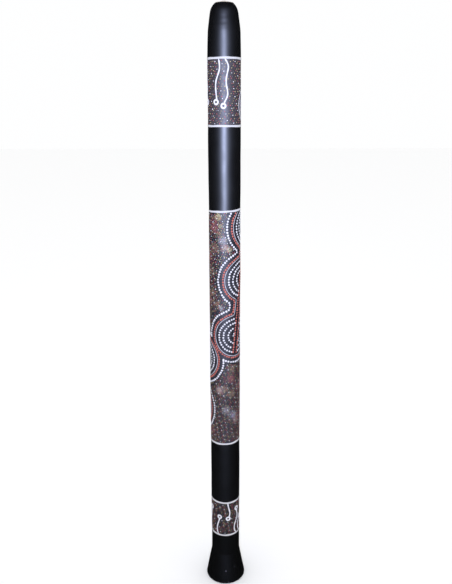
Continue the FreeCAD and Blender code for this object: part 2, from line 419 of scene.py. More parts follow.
# ------------ colours and clouds

# each paint: thick colour, thin colour and gloss
PAINT_COLOURS = {
    "white": ((0.71, 0.70, 0.74), (0.50, 0.49, 0.55), 0.25),
    "red": ((0.53, 0.155, 0.125), (0.38, 0.09, 0.075), 0.25),
    "gold": ((0.55, 0.44, 0.23), (0.34, 0.26, 0.13), 0.25),
    "rose": ((0.51, 0.12, 0.14), (0.33, 0.065, 0.08), 0.25),
    "mauve": ((0.26, 0.25, 0.34), (0.14, 0.13, 0.19), 0.25),
    "ring": ((0.57, 0.565, 0.58), (0.43, 0.425, 0.45), 0.25),
    "silver": ((0.60, 0.60, 0.66), (0.36, 0.36, 0.42), 0.5),
}

CLOUD_GOLD = (0.56, 0.47, 0.17)
CLOUD_RED = (0.36, 0.06, 0.09)
CLOUD_MAROON = (0.14, 0.020, 0.028)
CLOUD_PINK = (0.50, 0.31, 0.28)
CLOUD_PALE = (0.44, 0.43, 0.49)
CLOUD_BLUE = (0.24, 0.27, 0.42)
CLOUD_UMBER = (0.13, 0.085, 0.045)

# clouds of the middle band: place, reach in mm, colour, strength
CLOUDS = [
    ((-24, 812), 24, CLOUD_MAROON, 0.95),
    ((-13, 823), 12, CLOUD_GOLD, 1.0),
    ((-22, 800), 15, CLOUD_RED, 0.6),
    ((-8, 806), 9, CLOUD_GOLD, 0.6),
    ((-11, 791), 12, CLOUD_UMBER, 1.0),
    ((-4, 778), 14, CLOUD_PALE, 0.8),
    ((1, 764), 12, CLOUD_PINK, 0.9),
    ((9, 760), 9, CLOUD_GOLD, 0.8),
    ((-21, 762), 18, CLOUD_UMBER, 1.0),
    ((-36, 745), 24, CLOUD_MAROON, 0.8),
    ((-29, 716), 16, CLOUD_UMBER, 0.8),
    ((-28, 672), 14, CLOUD_UMBER, 1.0),
    ((-38, 655), 20, CLOUD_MAROON, 0.8),
    ((-16, 651), 14, CLOUD_UMBER, 1.0),
    ((-8, 643), 8, CLOUD_PALE, 0.7),
    ((14, 513), 14, CLOUD_UMBER, 1.0),
    ((12, 491), 15, CLOUD_RED, 0.6),
    ((-11, 466), 15, CLOUD_PINK, 0.8),
    ((1, 470), 10, CLOUD_UMBER, 1.0),
    ((12, 459), 14, CLOUD_UMBER, 0.9),
    ((2, 421), 15, CLOUD_PALE, 0.5),
    ((17, 409), 14, CLOUD_BLUE, 0.9),
    ((24, 396), 12, CLOUD_PINK, 0.5),
    ((38, 470), 24, CLOUD_MAROON, 0.9),
    ((40, 405), 22, CLOUD_MAROON, 0.8),
    ((-34, 370), 18, CLOUD_MAROON, 0.7),
    ((-60, 800), 20, CLOUD_GOLD, 0.6),
    ((-66, 770), 26, CLOUD_MAROON, 0.9),
    ((-55, 735), 18, CLOUD_BLUE, 0.8),
    ((-72, 700), 20, CLOUD_UMBER, 1.0),
    ((-58, 660), 18, CLOUD_PINK, 0.7),
    ((-80, 640), 22, CLOUD_MAROON, 0.9),
    ((-85, 600), 18, CLOUD_PALE, 0.5),
    ((62, 480), 18, CLOUD_BLUE, 0.7),
    ((55, 440), 16, CLOUD_GOLD, 0.5),
    ((50, 375), 18, CLOUD_UMBER, 0.9),
]

# ------------ paint that stands on the surface

SINK = 0.18          # how far the edges of raised paint lie under the surface, in mm
PATH_STEP = 1.6      # distance between the points of a drawn line, in mm
# sections of raised paint: share of the radius or half width, and share of the height
DOT_STEPS = ((0.95, 0.45), (0.62, 0.88))
SPECK_STEPS = ((0.72, 0.8),)
STROKE_SECTION = ((-0.92, 0.55), (-0.45, 1.0), (0.45, 1.0), (0.92, 0.55))
SPECK_SIDES = 8      # dots with this many sides or fewer have the simpler section


class Paint:
    """A layer of raised paint in one colour: dots and strokes collected into one mesh."""

    def __init__(self, name, colour):
        self.name = name
        self.colour = colour
        self.points = []
        self.faces = []
        self.count = 0

    def take(self, points, faces):
        """Add points, a list of arrays in metres, and the faces that join them."""
        flat = np.asarray(points).reshape(-1, 3)
        self.faces.extend(tuple(index + self.count for index in face) for face in faces)
        self.points.append(flat)
        self.count += len(flat)

    def dot(self, place, radius, lift, sides=16, squash=1.0):
        """A dome of paint; squash under 1 makes it lower than it is wide."""
        across, height = place
        turn = rng.uniform(0, FULL_TURN)
        around = turn + np.arange(sides) * FULL_TURN / sides
        edge = 1 + rng.normal(0, 0.022, sides)
        shares = DOT_STEPS if sides > SPECK_SIDES else SPECK_STEPS
        steps = [(1.0, -SINK)] + [(size, lift * share) for size, share in shares]
        rows = [
            on_skin(across + radius * size * edge * np.cos(around),
                    height + radius * squash * size * edge * np.sin(around), level)
            for size, level in steps
        ]
        top = on_skin(np.array([across]), np.array([height]), lift)
        faces = loop_faces(len(steps), sides, close_columns=True)
        last = (len(steps) - 1) * sides
        crown = len(steps) * sides
        faces += [(last + side, last + (side + 1) % sides, crown) for side in range(sides)]
        faces.append(tuple(reversed(range(sides))))
        self.take(np.concatenate(rows + [top]), faces)

    def stroke(self, path, width, lift, closed=False, wobble=0.12):
        """A brushed line of paint along a path of places."""
        path = np.asarray(path, float)
        count = len(path)
        ahead = np.roll(path, -1, axis=0)
        behind = np.roll(path, 1, axis=0)
        if not closed:
            ahead[-1] = path[-1]
            behind[0] = path[0]
        side = left_of(ahead - behind)
        half = width / 2 * (1 + wobble * np.sin(FULL_TURN * (np.arange(count) / 9 + rng.uniform())))
        if not closed:
            from_end = np.minimum(np.arange(count), np.arange(count)[::-1])
            half = half * np.clip(0.55 + from_end * 0.3, 0, 1)
        section = [(-1.0, -SINK)] + [(out, lift * share) for out, share in STROKE_SECTION] + [(1.0, -SINK)]
        columns = [
            on_skin(path[:, 0] + side[:, 0] * half * out, path[:, 1] + side[:, 1] * half * out, level)
            for out, level in section
        ]
        points = np.stack(columns, axis=1)
        faces = turned_over(loop_faces(count, len(section), close_rows=closed, close_columns=True))
        if not closed:
            start = tuple(range(len(section)))
            offset = (count - 1) * len(section)
            faces.append(start)
            faces.append(tuple(offset + index for index in reversed(start)))
        self.take(points, faces)

    def finish(self, materials):
        """Turn the collected paint into a piece, in the material of its colour."""
        return add_piece(self.name, np.concatenate(self.points), self.faces, materials[self.colour])


def left_of(along):
    """Unit vectors to the left of the given directions."""
    along = along / np.linalg.norm(along, axis=1)[:, None]
    return np.stack([-along[:, 1], along[:, 0]], axis=1)


def smooth_path(places, step=PATH_STEP):
    """Smooth line through a few given places, as points about step mm apart."""
    places = np.asarray(places, float)
    padded = np.vstack([2 * places[0] - places[1], places, 2 * places[-1] - places[-2]])
    line = []
    for number in range(1, len(padded) - 2):
        before, start, end, after = padded[number - 1:number + 3]
        count = max(2, int(np.linalg.norm(end - start) / step))
        for part in np.arange(count) / count:
            line.append(0.5 * (2 * start + (end - before) * part
                               + (2 * before - 5 * start + 4 * end - after) * part ** 2
                               + (3 * start - before - 3 * end + after) * part ** 3))
    line.append(places[-1])
    return np.array(line)


def even_places(path, pitch, closed=False):
    """Places along a path, evenly spaced at about the pitch."""
    path = np.asarray(path, float)
    if closed:
        path = np.vstack([path, path[:1]])
    steps = np.linalg.norm(np.diff(path, axis=0), axis=1)
    run = np.concatenate([[0], np.cumsum(steps)])
    count = max(1, round(run[-1] / pitch))
    stops = np.linspace(0, run[-1], count + 1)
    if closed:
        stops = stops[:-1]
    return np.stack([np.interp(stops, run, path[:, 0]), np.interp(stops, run, path[:, 1])], axis=1)


def places_round(centre, radius, turn):
    """Places on a circle, at angles from the direction across."""
    return np.stack([centre[0] + radius * np.cos(turn), centre[1] + radius * np.sin(turn)], axis=1)


def circle(centre, radius, step=PATH_STEP):
    """Closed path round a centre."""
    count = max(8, int(FULL_TURN * radius / step))
    return places_round(centre, radius, np.arange(count) * FULL_TURN / count)


def gap(first, second):
    """Distance on the tube between places, the short way round."""
    apart = np.asarray(first) - np.asarray(second)
    across = (apart[..., 0] + GIRTH / 2) % GIRTH - GIRTH / 2
    return np.hypot(across, apart[..., 1])


def ring_height(number, across):
    """Height of the middle of a white ring at a place round the tube."""
    height, rise = RINGS[number]
    return height + rise * np.sin(np.asarray(across) / TUBE_RADIUS)


# ------------ the chains of dotted circles

# radius of each outline round the circles, and its half width between two circles
WHITE_REACH, WHITE_NECK = 56.3, 24.0
RED_REACH, RED_NECK = 47.0, 14.5
SILVER_REACH, SILVER_NECK = 43.2, 10.5
INNER_RADII = (35.2, 26.4, 16.6)
CORE_RADIUS = 5.6
# rows of very fine grey dots in the gaps: beside the outlines, and between the inner circles
GAP_REACHES = ((52.6, 19.8), (50.6, 18.2))
GAP_RADII = (40.2, 38.6, 31.8, 30.2, 22.4, 20.8, 11.6)
RIVER_GAP = 4.6                       # from the middle of the river to each of its red lines
RIVER_CLEARANCE = RIVER_GAP + 2.4     # how close to the middle of the river other dots come

# each kind of dot: radius and height
OUTLINE_DOT = (2.1, 0.5)
RED_DOT = (1.95, 0.45)
RIVER_DOT = (1.9, 0.45)
INNER_DOT = (1.95, 0.45)
CORE_DOT = (1.45, 0.45)
GAP_DOT = (0.38, 0.12)
DOT_PITCH = 5.35
RED_PITCH = 5.1
CORE_PITCH = 4.4
GAP_PITCH = 4.4
SILVER_WIDTH, SILVER_LIFT = 1.05, 0.22

# least distance from the middle of a white ring
DOT_MARGIN = 4.0
GAP_MARGIN = 3.4
LINE_MARGIN = 3.0

CHAINS = [
    {
        "centres": [(61.0, 801.0), (43.0, 698.0), (23.2, 583.5)],
        "river": [(68.5, 845.0), (61.0, 801.0), (52.0, 750.0), (43.0, 698.0), (34.5, 645.0),
                  (29.5, 610.0), (26.0, 583.0), (21.5, 548.0)],
    },
    {
        "centres": [(-59.3, 530.0), (-80.0, 418.7)],
        "river": [(-52.5, 567.0), (-59.3, 530.0), (-69.5, 475.0), (-80.0, 418.7), (-87.5, 382.0)],
    },
]


def lobed_outline(centres, reach, neck):
    """Closed outline round a chain of equal circles, joined by narrow necks."""
    down = list(range(len(centres)))
    walk = np.array(centres)[down + down[-2:0:-1]]     # down the chain and up again
    half = math.asin(neck / reach)
    outline = []
    for before, centre, after in zip(np.roll(walk, 1, axis=0), walk, np.roll(walk, -1, axis=0)):
        start = math.atan2(*(before - centre)[::-1]) + half
        finish = math.atan2(*(after - centre)[::-1]) - half
        while finish < start:
            finish += FULL_TURN
        count = max(6, int((finish - start) * reach / PATH_STEP))
        outline.append(places_round(centre, reach, np.linspace(start, finish, count)))
    even = even_places(np.concatenate(outline), PATH_STEP, closed=True)
    return np.mean([np.roll(even, shift, axis=0) for shift in range(-2, 3)], axis=0)


def in_middle_band(places, margin):
    """True for places that clear the middle band's two white rings by a margin."""
    across, height = places[:, 0], places[:, 1]
    return (height < ring_height(3, across) - margin) & (height > ring_height(4, across) + margin)


def clear_of_other_chains(places, chain, reach):
    """True for places outside the circles of every other chain."""
    clear = np.ones(len(places), bool)
    for other in CHAINS:
        if other is not chain:
            for centre in other["centres"]:
                clear &= gap(places, centre) > reach
    return clear


def clear_of_river(places, chain):
    """True for places that stand off a chain's river."""
    line = smooth_path(chain["river"], 2.5)
    away = np.array([gap(line, place).min() for place in places])
    return away > RIVER_CLEARANCE


def lay_dots(layer, places, size, unevenness=0.22, **shape):
    """Dots of one size at the places, each a little off its place and size."""
    radius, lift = size
    for place in places:
        nudged = place + rng.normal(0, unevenness, 2)
        layer.dot(nudged, radius * rng.normal(1, 0.06), lift * rng.normal(1, 0.1), **shape)


def kept_runs(path, keep):
    """The kept stretches of a path that are longer than two points."""
    runs = []
    start = None
    for index, kept in enumerate(list(keep) + [False]):
        if kept and start is None:
            start = index
        if not kept and start is not None:
            if index - start > 2:
                runs.append(path[start:index])
            start = None
    return runs


def paint_outlines(chain, white, red, silver):
    """White dots, red dots and a silver line round a whole chain."""
    outline = lobed_outline(chain["centres"], WHITE_REACH, WHITE_NECK)
    places = even_places(outline, DOT_PITCH, closed=True)
    keep = in_middle_band(places, DOT_MARGIN) & clear_of_other_chains(places, chain, WHITE_REACH - 1.5)
    lay_dots(white, places[keep], OUTLINE_DOT)

    outline = lobed_outline(chain["centres"], RED_REACH, RED_NECK)
    places = even_places(outline, RED_PITCH, closed=True)
    lay_dots(red, places[in_middle_band(places, DOT_MARGIN)], RED_DOT)

    outline = lobed_outline(chain["centres"], SILVER_REACH, SILVER_NECK)
    for run in kept_runs(outline, in_middle_band(outline, LINE_MARGIN)):
        silver.stroke(run, SILVER_WIDTH, SILVER_LIFT)


def paint_circles(chain, white):
    """Nested circles of white dots round each centre, open where the river runs."""
    kinds = [(radius, DOT_PITCH, INNER_DOT) for radius in INNER_RADII]
    kinds.append((CORE_RADIUS, CORE_PITCH, CORE_DOT))
    for centre in chain["centres"]:
        for radius, pitch, size in kinds:
            places = even_places(circle(centre, radius), pitch, closed=True)
            keep = in_middle_band(places, DOT_MARGIN) & clear_of_river(places, chain)
            lay_dots(white, places[keep], size)


def paint_gap_dots(chain, grey):
    """Very fine grey dots between the rows of white and red ones."""
    paths = [lobed_outline(chain["centres"], reach, neck) for reach, neck in GAP_REACHES]
    paths += [circle(centre, radius) for centre in chain["centres"] for radius in GAP_RADII]
    for path in paths:
        places = even_places(path, GAP_PITCH, closed=True)
        keep = in_middle_band(places, GAP_MARGIN) & clear_of_river(places, chain)
        lay_dots(grey, places[keep], GAP_DOT, sides=5)


def paint_river(chain, red):
    """Two lines of red dots through a chain's centres, from the first circle to the last."""
    middle = smooth_path(chain["river"])
    side = left_of(np.gradient(middle, axis=0))
    first, last = np.array(chain["centres"])[[0, -1]]
    for sign in (-1, 1):
        places = even_places(middle + sign * RIVER_GAP * side, RED_PITCH)
        above = (gap(places, first) > SILVER_REACH - 3) & (places[:, 1] > first[1])
        beyond = (gap(places, last) > SILVER_REACH - 3) & (places[:, 1] < last[1])
        lay_dots(red, places[in_middle_band(places, DOT_MARGIN) & ~above & ~beyond], RIVER_DOT)


# ------------ the painted figures

LINE_WIDTH = 2.8     # snakes and tails
HEAD_REACH = 3.85    # from a head's centre to the middle of its ring
HEAD_WIDTH = 3.6

# each figure is a wavy line of places and the head's centre at its end
UPPER_SNAKES = [
    ([(-10, 1104), (-8.5, 1095), (-8.8, 1086), (-12.1, 1076), (-15.3, 1067), (-16.2, 1057),
      (-15.5, 1047), (-14.2, 1037)], (-15.6, 1031)),
    ([(1.6, 1104), (6, 1097), (7.6, 1090), (5.8, 1081), (3.8, 1071), (3.8, 1061), (6, 1050),
      (5.6, 1041), (1.2, 1032)], (-1.5, 1024.4)),
    ([(-44, 1104), (-47, 1093), (-50, 1081), (-47, 1068), (-43, 1056), (-45, 1044), (-43, 1036)],
     (-41.5, 1031)),
    ([(-70, 1104), (-66, 1092), (-68, 1078), (-73, 1066), (-71, 1052), (-69, 1041)], (-70, 1034)),
    ([(-84, 1104), (-83, 1090), (-87, 1078), (-90, 1064), (-87, 1050), (-84, 1038)], (-84.5, 1026)),
    ([(83, 1104), (81, 1096), (83.5, 1088), (87, 1079), (86.5, 1071)], (85, 1064)),
]
LOWER_FIGURES = [
    ([(5.2, 199), (6.2, 191), (8.0, 183.5), (9.7, 175), (8.6, 167)], (6.0, 160.5)),
    ([(-16.5, 120), (-19, 127.5), (-19.3, 136), (-17.8, 144), (-15, 153), (-13.8, 158)],
     (-13.1, 164)),
    ([(25.5, 120), (21.6, 127.5), (20.6, 136), (22.9, 145), (27.2, 152.5), (29.8, 160), (29.2, 168),
      (27.4, 175)], (27.0, 181)),
    ([(37, 120), (33.2, 127), (31.8, 135), (33.4, 143), (36.5, 149)], (39.0, 154.5)),
    ([(-41, 120), (-44, 128), (-46, 137), (-44, 147), (-40.5, 157), (-38.4, 168), (-37.4, 174)],
     (-36.5, 180.6)),
    ([(-58, 199), (-57, 190), (-60, 180), (-63, 171)], (-62, 163)),
    ([(-76, 120), (-80, 129), (-80, 139), (-76, 148), (-75, 156)], (-76.5, 162)),
    ([(90, 199), (87, 190), (89, 180), (92, 171)], (90, 163)),
    ([(72, 120), (69, 129), (70, 139), (74, 149), (76, 160)], (74.5, 168)),
    ([(54, 199), (56, 190), (59, 181), (57, 172)], (54.5, 165)),
]

# nested silver circles that stand on the upper band's lower ring: centre and radii
SILVER_CIRCLES = [
    ((65, 1025.8), (33.0, 24.5, 16.5, 10.0)),
    ((-72, 1007), (14.3, 9.5)),
]
OUTER_WIDTH, NESTED_WIDTH = 2.2, 1.2     # line widths of the outermost circle and of the rest
FIGURE_LIFT = 0.34                       # height of the white lines' paint


def paint_figure(layer, line, head):
    """A wavy line that ends in a ring with a dark middle."""
    away = np.array(line[-1], float) - head
    touch = head + away * HEAD_REACH / np.linalg.norm(away)
    layer.stroke(smooth_path(line + [tuple(touch)]), LINE_WIDTH, FIGURE_LIFT)
    layer.stroke(circle(head, HEAD_REACH, 1.0), HEAD_WIDTH, FIGURE_LIFT, closed=True, wobble=0.05)


def paint_silver_circles(silver, white):
    """Nested silver circles in the upper band, with a ring of white dots in the middle."""
    for centre, radii in SILVER_CIRCLES:
        for radius in radii:
            width = OUTER_WIDTH if radius == radii[0] else NESTED_WIDTH
            silver.stroke(circle(centre, radius), width, SILVER_LIFT, closed=True)
        lay_dots(white, even_places(circle(centre, 5.0), 4.2, closed=True), (1.35, 0.4))


# small mauve dots on the bell, the last a painted glint on the rim's rounded edge: place, radius, height
# over width
BELL_SPOTS_AND_RIM_GLINT = [((0.5, 30.0), 1.25, 0.65), ((17.4, 36.0), 0.7, 0.5), ((5.0, 3.9), 0.8, 0.5)]


def paint_bell_spots_and_glint(layer):
    """Small mauve dots on the bell; the last is a painted glint on the rim's rounded edge."""
    for place, radius, squash in BELL_SPOTS_AND_RIM_GLINT:
        layer.dot(place, radius, 0.12, squash=squash)


# ------------ speckles

SPECKLE_PITCH = 4.1
UPPER_SPECKLE_PITCH = 4.8      # the upper band is speckled more sparsely
ROW_PITCH = 0.87               # distance between rows over the distance within a row
LOOSENESS = 0.26               # how far a speckle strays, as a share of the pitch
ODD_SHARE = 0.12               # share of the speckles whose colour is drawn at random
RING_MARGIN = 3.2              # least distance from the middle of a ring, or from a chain
SPECKLES = {     # colour name: radius and height in mm
    "white": (1.14, 0.26),
    "gold": (0.98, 0.20),
    "rose": (0.96, 0.20),
    "mauve": (0.60, 0.14),
}
# colours by a speckle's number on the lattice; neighbours never have the same number
LATTICE_COLOURS = ["white", "gold", "rose", "mauve", "rose", "gold", "mauve"]


def speckle_lattice(low, high, pitch=SPECKLE_PITCH):
    """Loosely even places all round the tube between two heights, with a colour for each."""
    kinds = len(LATTICE_COLOURS)
    rows = int((high - low) / (pitch * ROW_PITCH))
    columns = int(GIRTH / pitch / kinds) * kinds
    places = []
    colours = []
    for row in range(rows):
        for column in range(columns):
            across = (column + 0.5 * (row % 2)) * GIRTH / columns - GIRTH / 2
            height = low + (row + 0.5) * (high - low) / rows
            places.append((across, height))
            number = (column - row // 2 + 3 * row) % kinds
            if rng.uniform() < ODD_SHARE:
                number = rng.integers(1, kinds)
            colours.append(LATTICE_COLOURS[number])
    places = np.array(places)
    return places + rng.uniform(-LOOSENESS, LOOSENESS, places.shape) * pitch, np.array(colours)


def between_rings(upper, lower):
    """Lowest and highest speckles of a band, from the numbers of its two white rings."""
    return RINGS[lower][0] + RING_MARGIN, RINGS[upper][0] - RING_MARGIN


def clear_of_chains(places):
    """True for places outside every dotted circle and the necks between them."""
    clear = np.ones(len(places), bool)
    for chain in CHAINS:
        centres = np.array(chain["centres"])
        for centre in centres:
            clear &= gap(places, centre) > WHITE_REACH + RING_MARGIN
        for waist in (centres[:-1] + centres[1:]) / 2:
            clear &= gap(places, waist) > WHITE_NECK + RING_MARGIN
    return clear


def clear_of_figures(places, figures):
    """True for places that no painted line or head covers."""
    clear = np.ones(len(places), bool)
    for line, head in figures:
        clear &= gap(places, head) > HEAD_REACH + HEAD_WIDTH / 2 + 1.3
        for point in smooth_path(line):
            clear &= gap(places, point) > LINE_WIDTH / 2 + 1.6
    return clear


def clear_of_silver(places):
    """True for places beside the upper band's silver circles."""
    clear = np.ones(len(places), bool)
    for centre, radii in SILVER_CIRCLES:
        for radius in radii:
            clear &= np.abs(gap(places, centre) - radius) > 2.0
    return clear


def scatter(places, colours, keep, layers):
    """Lay the kept speckles, each in the layer of its colour."""
    for place, colour in zip(places[keep], colours[keep]):
        radius, lift = SPECKLES[colour]
        size = radius * rng.normal(1, 0.11)
        sides = 8 if radius > 0.9 else 7
        layers[colour].dot(place, size, lift, sides=sides, squash=rng.uniform(0.9, 1.15))


MIST_COLOURS = {
    CLOUD_GOLD: ("gold", "gold", "white"),
    CLOUD_RED: ("rose", "rose", "gold"),
    CLOUD_MAROON: ("rose",),
    CLOUD_PINK: ("white", "rose", "gold"),
    CLOUD_PALE: ("white", "mauve"),
    CLOUD_BLUE: ("mauve", "white"),
    CLOUD_UMBER: ("gold", "rose", "gold"),
}


def scatter_mist(cloud, layers):
    """Very fine speckles crowded round a cloud's place."""
    (across, height), reach, colour, strength = cloud
    count = int(reach * 5.5 * strength)
    places = np.array([across, height]) + rng.normal(0, reach * 0.34, (count, 2))
    names = MIST_COLOURS[colour]
    keep = clear_of_chains(places) & in_middle_band(places, LINE_MARGIN)
    for place in places[keep]:
        layers[names[rng.integers(len(names))]].dot(place, rng.uniform(0.3, 0.52), 0.1, sides=5)


# ------------ coats, rings, wood, glue and wax

AROUND = 168     # points round a lathed coat
ROUND = np.arange(AROUND) * FULL_TURN / AROUND     # their angles
HALF_AROUND = 72     # points round a half shell of wood
LAP = 0.02           # how far a coat's hidden face stays off the wood
RING_WIDTH = 3.9
# a ring's section: share of its half width, and height
RING_SECTION = ((-1.0, -SINK), (-0.93, 0.22), (-0.6, 0.36), (0.6, 0.36), (0.93, 0.22), (1.0, -SINK))


def level_row(angle, radius, level):
    """Row of points at one height."""
    return to_space(angle, radius, np.full(len(angle), level))


def coat_piece(node, material, step=2.5):
    """Thin sleeve of paint between the true inner wall and the hand-finished surface."""
    wall = COATS[node]
    bottom, top = wall.outer_heights[0], wall.outer_heights[-1]
    levels = np.linspace(bottom, top, max(3, int((top - bottom) / step)))
    inner = np.interp(levels, wall.inner_heights, wall.inner) + LAP
    rows = [level_row(ROUND, skin_radius(ROUND, level), level) for level in levels]
    rows += [level_row(ROUND, radius, level) for radius, level in zip(inner[::-1], levels[::-1])]
    faces = loop_faces(len(rows), AROUND, close_rows=True, close_columns=True)
    piece = add_piece(node + "_paint", rows, faces, material, (node,))
    sharpen(piece, 50)


def ring_piece(number, material):
    """White painted ring: a low bead of paint whose edges waver a little."""
    node = f"white_ring_{number}"
    middle = ring_height(number, ROUND * TUBE_RADIUS)
    middle = middle + 0.22 * np.sin(3 * ROUND + number) + 0.12 * np.sin(7 * ROUND + 2 * number)
    half = RING_WIDTH / 2 * (1 + 0.08 * np.sin(5 * ROUND + number) + 0.05 * np.sin(11 * ROUND))
    columns = [on_skin(ROUND * TUBE_RADIUS, middle + half * out, level) for out, level in RING_SECTION]
    points = np.stack(columns, axis=1)
    faces = turned_over(loop_faces(AROUND, len(RING_SECTION), close_rows=True, close_columns=True))
    add_piece(node + "_paint", points, faces, material, (node,))


RIM_LEVELS = [0.0, 0.05, 0.2, 0.5, 1.0, 1.6, 2.8]     # rows round the bell rim's rounded edges


def wall_rows():
    """Height, inner and outer radius of each row of the wood, from the rim to the mouth end."""
    wall = node_outline("body_half_left")
    levels = np.concatenate([RIM_LEVELS, np.arange(5, 1180, 7.0), np.linspace(1181, WOOD_TOP, 14)])
    inner_row = np.interp(levels, wall.inner_heights, wall.inner)
    outer_row = np.interp(levels, wall.outer_heights, wall.outer)
    return zip(levels, inner_row, outer_row)


def gouges(angle, height):
    """Tool marks in the bore, as a change of its radius in mm; they fade out at both ends."""
    fade = np.clip(height / 4, 0, 1) * np.clip((1170 - height) / 40, 0, 1)
    marks = 0.14 * np.sin(9 * angle + 0.8 * np.sin(height / 60)) + 0.1 * np.sin(height / 17 + 3 * angle)
    return fade * marks


def half_shell(node, side, material):
    """Half shell of wood with tool marks in the bore; side is -1 for left and 1 for right."""
    angle = np.linspace(0, math.pi, HALF_AROUND) * side
    planed = GLUE / 2 * MM
    rows = []
    for level, inner, outer in wall_rows():
        bore = inner + gouges(angle, level)
        outside = level_row(angle, outer - LAP / 2, level)
        row = np.concatenate([outside, level_row(angle[::-1], bore[::-1], level)])
        row[:, 0] = side * np.maximum(side * row[:, 0], planed)
        rows.append(row)
    width = 2 * HALF_AROUND
    faces = loop_faces(len(rows), width, close_columns=True)
    top = (len(rows) - 1) * width
    for column in range(HALF_AROUND - 1):
        across = width - 1 - column     # the bore's point that faces this one
        faces.append((column + 1, column, across, across - 1))
        faces.append((top + column, top + column + 1, top + across - 1, top + across))
    if side < 0:
        faces = turned_over(faces)
    piece = add_piece(node + "_wood", rows, faces, material, (node,))
    sharpen(piece, 40)


def seam_film(node, side, material):
    """Film of glue in one seam, squeezed out a little into the bore; side is -1 front, 1 back."""
    half = GLUE / 2
    bead = half + 0.25     # half width of the bead in the bore
    rows = []
    for level, inner, outer in wall_rows():
        squeezed = 0.35 * (0.5 + 0.5 * math.sin(level / 13)) * min(1, level / 10)
        reach = inner - 0.15 - squeezed
        flank = [(half, outer), (half, inner), (bead, inner), (bead * 0.6, reach)]
        corners = flank + [(-across, deep) for across, deep in reversed(flank)]
        rows.append([(across * MM, side * deep * MM, level * MM) for across, deep in corners])
    width = len(rows[0])
    faces = loop_faces(len(rows), width, close_columns=True)
    top = (len(rows) - 1) * width
    faces.append(tuple(reversed(range(width))))
    faces.append(tuple(top + index for index in range(width)))
    if side > 0:
        faces = turned_over(faces)
    piece = add_piece(node + "_film", rows, faces, material, (node,))
    sharpen(piece, 40)


def wax_piece(material):
    """Beeswax pressed over the wood's edge by hand: a lumpy ring with a lining below it."""
    wall = node_outline("beeswax_mouthpiece")
    hole, bore, edge = wall.inner.min(), wall.outer[0], wall.outer.max()
    around = 96
    angle = np.arange(around) * FULL_TURN / around
    lumps = 0.22 * np.sin(5 * angle + 0.4) + 0.14 * np.sin(8 * angle + 1.9) + 0.08 * np.sin(13 * angle)
    front_lump = np.exp((np.cos(angle) - 1) / 0.09)
    rise = 0.3 * lumps + 0.95 * front_lump - 1.05     # how far the crown differs from its full height
    middle = (hole + edge) / 2
    # radius, height, and the shares of the lumps and of the crown's rise
    profile = [
        (bore - LAP, WAX_BOTTOM, 0.0, 0.0),
        (bore - LAP, WOOD_TOP + LAP, 0.0, 0.0),
        (edge + 0.25, WOOD_TOP + LAP, 0.6, 0.0),
        (edge + 0.45, WOOD_TOP + 0.7, 1.0, 0.25),
        (edge - 0.15, WOOD_TOP + 1.5, 0.8, 0.7),
        (middle + 0.35, TOTAL_HEIGHT, 0.4, 1.0),
        (middle - 0.45, TOTAL_HEIGHT, 0.2, 1.0),
        (hole + 0.3, WOOD_TOP + 1.4, 0.3, 0.8),
        (hole, WOOD_TOP + 0.4, 0.5, 0.3),
        (hole, WOOD_TOP - 4, 0.6, 0.0),
        (hole, WAX_BOTTOM, 0.3, 0.0),
    ]
    rows = [
        to_space(angle, radius + pushed * lumps, height + raised * rise)
        for radius, height, pushed, raised in profile
    ]
    faces = loop_faces(len(rows), around, close_rows=True, close_columns=True)
    piece = add_piece("beeswax_mouthpiece_wax", rows, faces, material, ("beeswax_mouthpiece",))
    rounding = piece.modifiers.new("rounding", "SUBSURF")
    rounding.levels = 2
    rounding.render_levels = 2


def bell_lip(material):
    """Lacquer that wraps round the rim's outer edge, thinning to nothing underneath."""
    wood_round = COATS["black_coat_bell"].outer_heights[0]     # radius of the rim's rounding
    centre = COATS["black_coat_bell"].outer[0] - COAT - wood_round
    turns = np.radians([0, 15, 30, 45, 60, 72, 80])
    film = [COAT, 0.36, 0.30, 0.24, 0.17, 0.10, 0.05]     # thickness of the lacquer at each turn
    edge = handwork(ROUND, wood_round)

    def row(turn, thick, unevenness=0.0):
        """Row of points on the rounding, turned down from level and lifted off the wood."""
        reach = wood_round + thick
        radius = centre + reach * math.cos(turn) + unevenness * math.cos(turn) ** 2
        return level_row(ROUND, radius, wood_round - reach * math.sin(turn))

    rows = [row(turn, thick, edge) for turn, thick in zip(turns, film)]
    rows += [row(turn, -LAP) for turn in turns[::-1]]
    faces = turned_over(loop_faces(len(rows), AROUND, close_rows=True, close_columns=True))
    piece = add_piece("bell_lip_paint", rows, faces, material)
    sharpen(piece, 50)


# ------------ build the object

lacquer = lacquer_material()
ground_upper = ground_material("hazy_ground", [], (0.028, 0.020, 0.0235), (0.064, 0.047, 0.057))
ground_middle = ground_material("clouded_ground", CLOUDS, (0.0035, 0.003, 0.0055), (0.011, 0.0095, 0.016))
ground_lower = ground_material("speckled_ground", [], (0.0035, 0.0026, 0.0035), (0.011, 0.0085, 0.011))
paints = {colour: paint_material(colour) for colour in PAINT_COLOURS}
wood = wood_material()

coat_piece("black_coat_bell", lacquer)
bell_lip(lacquer)
coat_piece("dotted_ground_lower", ground_lower)
coat_piece("black_coat_lower", lacquer)
coat_piece("dotted_ground_middle", ground_middle)
coat_piece("black_coat_upper", lacquer)
coat_piece("dotted_ground_upper", ground_upper)
coat_piece("black_coat_neck", lacquer, step=1.2)
for ring_number in RINGS:
    ring_piece(ring_number, paints["ring"])
half_shell("body_half_left", -1, wood)
half_shell("body_half_right", 1, wood)
glue = glue_material()
seam_film("glue_seam_front", -1, glue)
seam_film("glue_seam_back", 1, glue)
wax_piece(wax_material())

